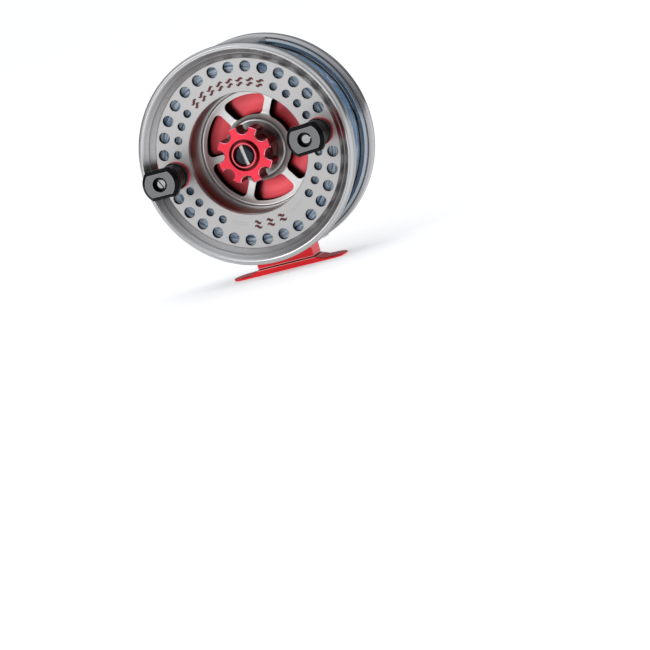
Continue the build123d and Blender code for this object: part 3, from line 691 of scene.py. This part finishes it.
def make_materials():
    aluminium = (0.60, 0.595, 0.59)
    dark_edge = (0.25, 0.24, 0.24)
    red_edge = (0.75, 0.10, 0.12)
    return {
        "face": turned_metal(
            "satin_face", (0.52, 0.508, 0.505), 0.42, face_shade, marks=0.10, wear=0.03),
        "rim": turned_metal(
            "turned_rim", (0.55, 0.55, 0.555), 0.28, rim_shade, marks=0.08, wear=0.04),
        "ring": turned_metal(
            "polished_ring", (0.50, 0.50, 0.51), 0.20, ring_shade, marks=0.05, wear=0.03),
        "well": turned_metal(
            "bored_well", (0.62, 0.60, 0.60), 0.30, well_shade, marks=0.08, edge=dark_edge),
        "web": turned_metal(
            "machined_web", (0.84, 0.83, 0.825), 0.30, web_shade, marks=0.08, edge=dark_edge),
        "star": turned_metal(
            "anodised_star", (0.86, 0.038, 0.070), 0.27, star_shade, marks=0.02, wear=0.03, coat=0.4,
            edge=red_edge, brushed=0.6),
        "washer": turned_metal(
            "anodised_washer", (0.50, 0.014, 0.022), 0.34, marks=0.04, coat=0.3),
        "housing": turned_metal(
            "anodised_housing", (1.0, 0.14, 0.17), 0.33, housing_shade, marks=0.015, wear=0.02, coat=0.25,
            edge=red_edge, brushed=0.85),
        "flange": turned_metal("edged_flange", aluminium, 0.26, flange_shade),
        "foot": turned_metal(
            "anodised_foot", (0.86, 0.022, 0.030), 0.40, foot_shade, marks=0.03, wear=0.03, coat=0.3),
        "machined_aluminium": turned_metal("turned_aluminium", aluminium, 0.26),
        "red_anodised": turned_metal(
            "red_anodising", (0.84, 0.016, 0.045), 0.28, marks=0.07, wear=0.07, coat=0.6),
        "black_knob": plain_grain(
            "black_knob", (0.003, 0.003, 0.004), 0.2, 0.0, grain=1400.0, relief=0.04, spread=0.2,
            accent=knob_accents, gloss=0.08),
        "steel": plain_grain(
            "stainless", (0.60, 0.59, 0.57), 0.26, 1.0, grain=1800.0, relief=0.10, spread=0.05),
        "bearing_steel": plain_grain(
            "bearing_steel", (0.72, 0.72, 0.73), 0.12, 1.0, grain=2500.0, relief=0.04, spread=0.03),
        "bronze": plain_grain(
            "bronze", (0.62, 0.42, 0.20), 0.33, 1.0, grain=1500.0, spread=0.08),
        "black_screw": plain_grain(
            "black_oxide", (0.03, 0.034, 0.042), 0.10, 1.0, grain=1600.0, relief=0.04, spread=0.1,
            accent=screw_accents),
        "handle_screw": plain_grain(
            "bright_screw", (0.42, 0.42, 0.42), 0.16, 1.0, grain=1800.0, relief=0.10, spread=0.15),
        "acetal": plain_grain(
            "black_acetal", (0.012, 0.012, 0.012), 0.40, grain=1100.0, relief=0.10, spread=0.1),
        "friction_material": plain_grain(
            "brake_lining", (0.04, 0.04, 0.04), 0.75, grain=2600.0, relief=0.5, spread=0.25),
        "fishing_line": line_material(),
        "marks": plain_grain(
            "dark_red_paint", (0.115, 0.012, 0.018), 0.45, grain=2200.0, relief=0.15, spread=0.2),
        "scribed": plain_grain(
            "scribed_line", (0.40, 0.39, 0.38), 0.5, 1.0, grain=2200.0, relief=0.15, spread=0.1),
    }


# Nodes whose look differs from that of their material slot
SPECIAL_FINISH = {
    "spool_face_plate": "face", "palming_rim": "rim", "frame_rear_ring": "ring", "spool_arbor": "well",
    "spool_web": "web", "spool_rear_flange": "flange", "drag_star": "star", "drag_housing": "housing",
    "reel_foot": "foot", "handle_washer_1": "washer", "handle_washer_2": "washer",
    "handle_screw_1": "handle_screw", "handle_screw_2": "handle_screw"}


def paint_cad_nodes(materials):
    slots = {part["node"]: part["material_slot"] for part in frame["record"]["subparts"]}
    for name, node in frame["nodes"].items():
        node.data.materials.clear()
        node.data.materials.append(materials[SPECIAL_FINISH.get(name, slots[name])])


def paint(piece, material):
    piece.data.materials.append(material)


# ---------------------------------------------------------------- floor and light

def add_area_light(name, place, size, power):
    """Rectangular light aimed at the middle of the reel."""
    lamp = bpy.data.lights.new(name, "AREA")
    lamp.shape = "RECTANGLE"
    lamp.size, lamp.size_y = size
    lamp.energy = power
    light = bpy.data.objects.new(name, lamp)
    light.location = place
    aim = Vector((0.0, 0.0, AXIS_Z)) - Vector(place)
    light.rotation_euler = aim.to_track_quat("-Z", "Y").to_euler()
    bpy.context.scene.collection.objects.link(light)


FLOOR_HALF_SIZE = 8.0
FLOOR_GAP = 0.0002                                 # between the foot and the floor
HORIZON_LEVEL, OVERHEAD_LEVEL = 0.19, 1.19


def add_floor():
    shape = bmesh.new()
    bmesh.ops.create_grid(shape, x_segments=1, y_segments=1, size=FLOOR_HALF_SIZE)
    floor = bpy.data.objects.new("floor", bpy.data.meshes.new("floor"))
    shape.to_mesh(floor.data)
    shape.free()
    floor.location.z = cad_box[0].z - FLOOR_GAP
    paper = plain_grain("floor_paper", (0.92, 0.92, 0.92), 0.9, grain=60.0, relief=0.02, spread=0.01)
    lit = paper.node_tree.nodes["Principled BSDF"].inputs
    lit["Emission Color"].default_value = (*WHITE, 1.0)
    lit["Emission Strength"].default_value = 0.36
    paint(floor, paper)
    bpy.context.scene.collection.objects.link(floor)


def add_world():
    """Soft studio surroundings: bright overhead, darker towards the horizon."""
    world = bpy.data.worlds.new("studio")
    world.use_nodes = True
    tree = world.node_tree
    direction = add_node(tree, "ShaderNodeTexCoord").outputs["Generated"]
    height = add_node(tree, "ShaderNodeSeparateXYZ", None, {0: direction}).outputs[2]
    rise = math_node(tree, "POWER", span(tree, height, 0.0, 1.0), 1.6)
    level = span(tree, rise, 0.0, 1.0, HORIZON_LEVEL, OVERHEAD_LEVEL)
    background = tree.nodes["Background"]
    background.inputs[0].default_value = (0.95, 0.97, 1.0, 1.0)
    tree.links.new(level, background.inputs[1])
    bpy.context.scene.world = world


def add_studio():
    add_floor()
    add_world()
    add_area_light("front", (-0.75, -1.5, 0.75), (0.9, 0.9), 8.5)
    add_area_light("side", (1.3, 0.2, 0.5), (0.7, 1.2), 1.4)
    bpy.context.scene.view_settings.view_transform = "Standard"


add_camera()
materials = make_materials()
paint_cad_nodes(materials)
paint(make_wound_line(), materials["fishing_line"])
paint(make_crossing_strands(), materials["fishing_line"])
paint(make_face_marks(), materials["marks"])
paint(make_face_lines(), materials["scribed"])
add_studio()
